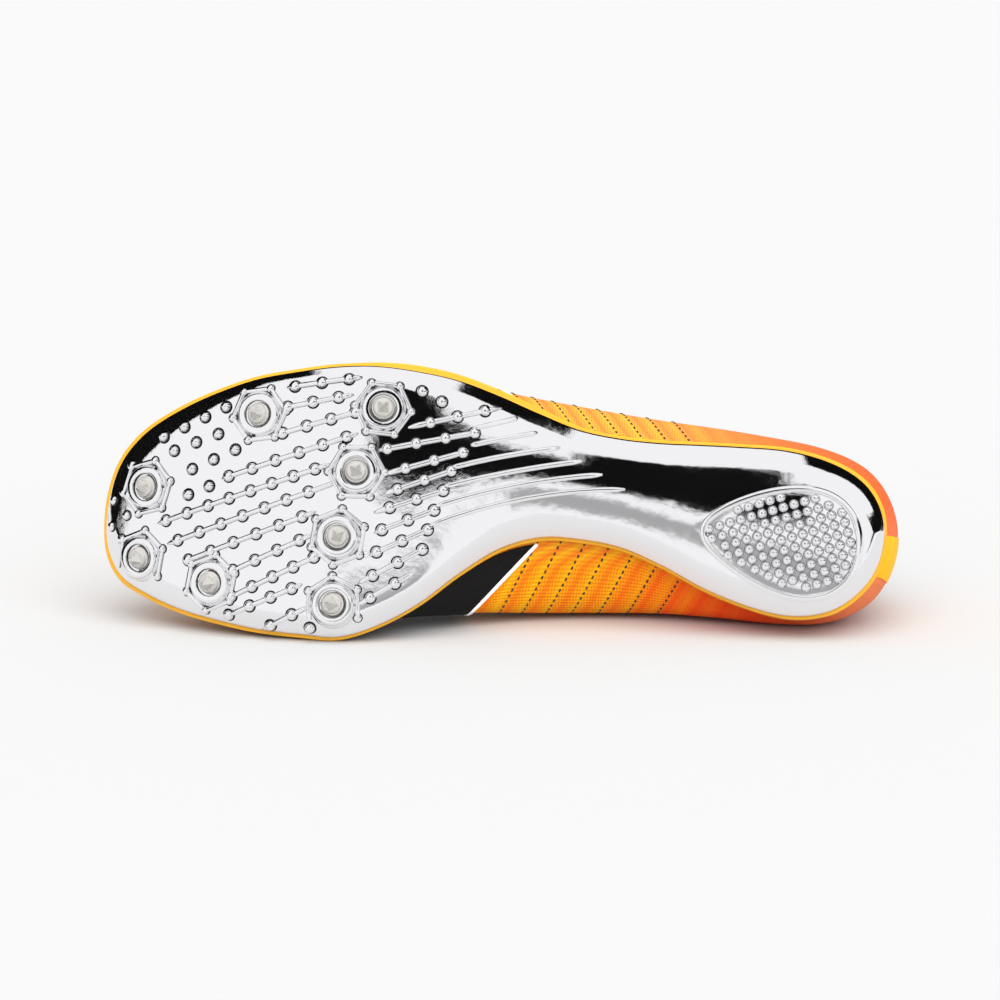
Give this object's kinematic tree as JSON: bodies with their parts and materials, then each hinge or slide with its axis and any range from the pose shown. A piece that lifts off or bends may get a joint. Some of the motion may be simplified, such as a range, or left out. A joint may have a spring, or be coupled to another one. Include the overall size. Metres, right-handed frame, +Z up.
{
  "type": "track spike shoe",
  "caption": "Low track spike shoe for the left foot: chrome-bright sprint plate with pins and ribs, thin foam line, orange woven upper, laid on its inner side.",
  "frame": {"origin": "centre of the bounding box's underside, on the floor the shoe lies on", "axes": "+X from the toe to the heel, +Y from the sole to the instep, +Z up, from the inner to the outer side"},
  "size_m": [0.277, 0.0978, 0.0922],
  "materials": {
    "chrome_plating": "mirror-bright plating on moulded plastic",
    "yellow_foam": "smooth foam",
    "orange_weave": "fine ribbed weave, yellow-orange to red-orange",
    "black_film": "satin film",
    "black_textile": "matt",
    "yellow_film": "satin film",
    "frosted_plastic": "frosted, slightly see-through"
  },
  "bodies": {
    "root": {"eyestay": "black_film", "forefoot_panel_inner": "black_film", "forefoot_panel_outer": "black_film", "heel_strip": "yellow_film", "insole": "black_textile", "lace": "black_textile", "midsole": "yellow_foam", "spike_1": "frosted_plastic", "spike_2": "frosted_plastic", "spike_3": "frosted_plastic", "spike_4": "frosted_plastic", "spike_5": "frosted_plastic", "spike_6": "frosted_plastic", "spike_7": "frosted_plastic", "spike_8": "frosted_plastic", "spike_plate": "chrome_plating", "tongue": "black_textile", "upper": "orange_weave"}
  },
  "joints": []
}
